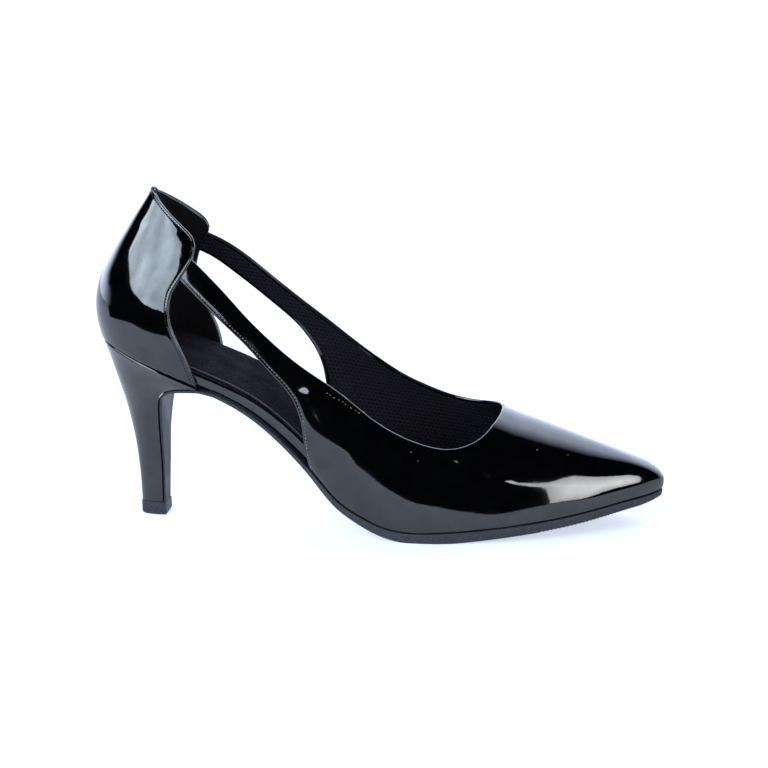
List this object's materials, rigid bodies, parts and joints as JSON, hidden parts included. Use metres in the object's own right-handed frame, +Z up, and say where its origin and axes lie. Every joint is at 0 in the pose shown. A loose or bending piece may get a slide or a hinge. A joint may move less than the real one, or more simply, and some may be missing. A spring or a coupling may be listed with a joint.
{
  "type": "heeled shoe",
  "caption": "Pointed patent court shoe on a slim high heel, with cut-away sides, side straps joined to a shaped heel counter, a wrapped insole and a thin outsole.",
  "frame": {"origin": "on the floor, under the middle of the shoe's bounding box", "axes": "+X from heel to toe, +Y to the inner side of the foot, +Z up"},
  "size_m": [0.2436, 0.0709, 0.1441],
  "materials": {
    "patent_black": "high gloss patent",
    "sock_black": "matte",
    "rubber_black": "matte"
  },
  "bodies": {
    "root": {"upper": "patent_black", "heel_counter": "patent_black", "insole_board": "patent_black", "insole_sock": "sock_black", "outsole": "rubber_black", "heel": "patent_black", "heel_tip": "rubber_black"}
  },
  "joints": []
}
